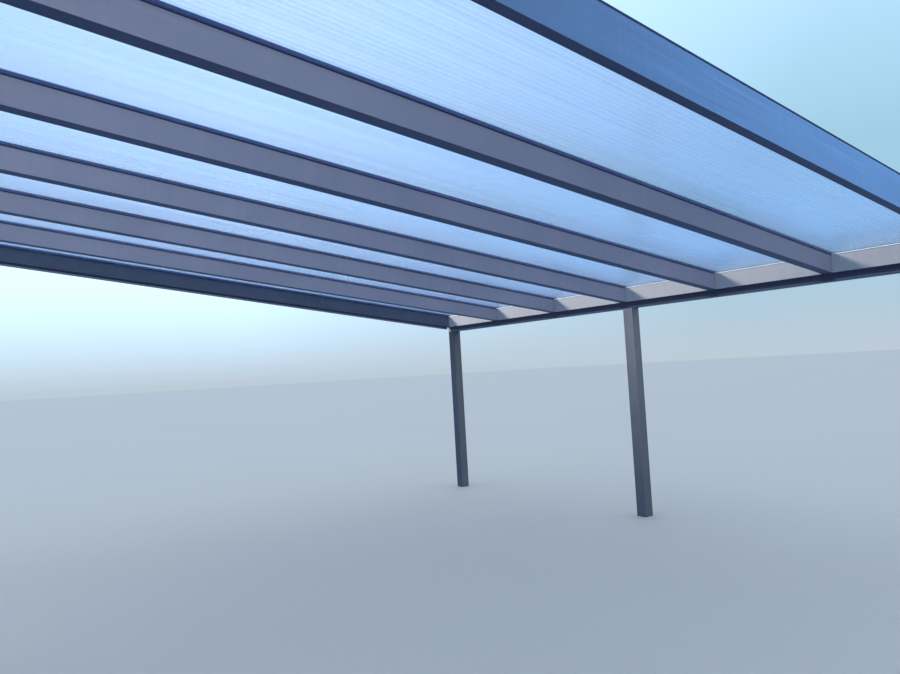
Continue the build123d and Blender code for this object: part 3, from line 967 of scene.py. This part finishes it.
def place_lamp(name, kind, place, target, strength, colour, receivers):
    # a lamp at a place, turned towards a target
    lamp_data = bpy.data.lights.new(name, kind)
    lamp_data.energy = strength
    lamp_data.color = colour
    lamp = bpy.data.objects.new(name, lamp_data)
    lamp.location = place
    lamp.rotation_mode = "QUATERNION"
    lamp.rotation_quaternion = (target - place).to_track_quat("-Z", "Y")
    lamp.visible_camera = False
    lamp.light_linking.receiver_collection = receivers
    bpy.context.scene.collection.objects.link(lamp)
    return lamp_data


def from_middle_of_roof(direction, distance):
    # a place that far from the middle of the roof
    return ROOF_MIDDLE + Vector(direction).normalized() * distance


print("lamp helpers ready")

# %% What each lamp reaches
near_cover = nodes["side_cover_left"]
far_rafter = nodes[f"rafter_{rafter_count}"]
posts = [node for name, node in nodes.items() if "_post_" in name]
shaded_posts = [nodes["gutter_post_middle"], nodes["gutter_post_right"]]
sheets = [node for name, node in nodes.items() if name.startswith("roof_sheet_")]
upper = [node for name, node in nodes.items() if name.startswith(("glazing_cap_", "high_beam"))]
rest_seals = [piece for piece in small_parts if piece.name.startswith("rest_seal_")]
inner_face = [nodes["gutter_beam"], *rest_seals]
top_leaves_out = [floor, *sheets, *shaded_posts, *inner_face]
side_leaves_out = [floor, *sheets, *shaded_posts, near_cover, far_rafter]
front_leaves_out = [floor, *sheets, *upper, *posts]

key_reach = make_light_group("gutter_face", inner_face, "INCLUDE")
top_reach = make_light_group("top_leaves_out", top_leaves_out, "EXCLUDE")
side_reach = make_light_group("side_leaves_out", side_leaves_out, "EXCLUDE")
front_reach = make_light_group("front_leaves_out", front_leaves_out, "EXCLUDE")
post_reach = make_light_group("shaded_posts", shaded_posts, "INCLUDE")
outer_reach = make_light_group("near_outer_face", [near_cover], "INCLUDE")
print("shaded posts", [post.name for post in shaded_posts])

# %% Lamps
KEY_PLACE = from_middle_of_roof((-0.40, 0.80, 0.60), KEY_DISTANCE)
SUNLIGHT = (1.0, 0.90, 0.76)
for name, strength, receivers in (("key_lamp", 47000.0, key_reach), ("top_lamp", 16000.0, top_reach)):
    high_lamp = place_lamp(name, "AREA", KEY_PLACE, ROOF_MIDDLE, strength, SUNLIGHT, receivers)
    high_lamp.size = KEY_SIZE

UNDER_ROOF = Vector((1.30, -0.65, 2.20))
UNDER_STRENGTH = 80.0
UNDER_LIGHT = (1.0, 1.02, 0.94)
level = Vector((low_face_x, UNDER_ROOF.y, UNDER_ROOF.z))
under_lamp = place_lamp("under_lamp", "AREA", UNDER_ROOF, level, UNDER_STRENGTH, UNDER_LIGHT, post_reach)
under_lamp.size = UNDER_SIZE

for name, direction, strength, colour, receivers in (
    ("side_lamp", (-0.06, -0.92, 0.36), 7.6, (0.67, 0.72, 0.94), side_reach),
    ("front_lamp", (-0.72, -0.14, 0.68), 10.5, (0.68, 0.86, 1.0), front_reach),
    ("outer_lamp", (0.75, -0.60, 0.28), 5.4, (0.16, 0.45, 1.04), outer_reach),
    ("post_lamp", (0.20, -0.95, 0.25), 1.4, (1.0, 1.0, 0.5), post_reach),
):
    place = from_middle_of_roof(direction, SUN_DISTANCE)
    soft_lamp = place_lamp(name, "SUN", place, ROOF_MIDDLE, strength, colour, receivers)
    soft_lamp.angle = SUN_SPREAD
print("lamps", [lamp.name for lamp in bpy.data.lights])

# %% [markdown]
# A ray that looks along a sheet passes many ribs, and each one counts as a bounce, so the
# limit on see-through bounces is raised. The others are lowered to save time. The Standard
# view shows the tones as they are set, with no film curve laid over them.

# %% Light paths and view
bpy.context.scene.view_settings.view_transform = "Standard"
cycles = bpy.context.scene.cycles
cycles.transparent_max_bounces = 24
cycles.max_bounces = 6
cycles.diffuse_bounces = 3
cycles.glossy_bounces = 3
print("see-through bounces", cycles.transparent_max_bounces)
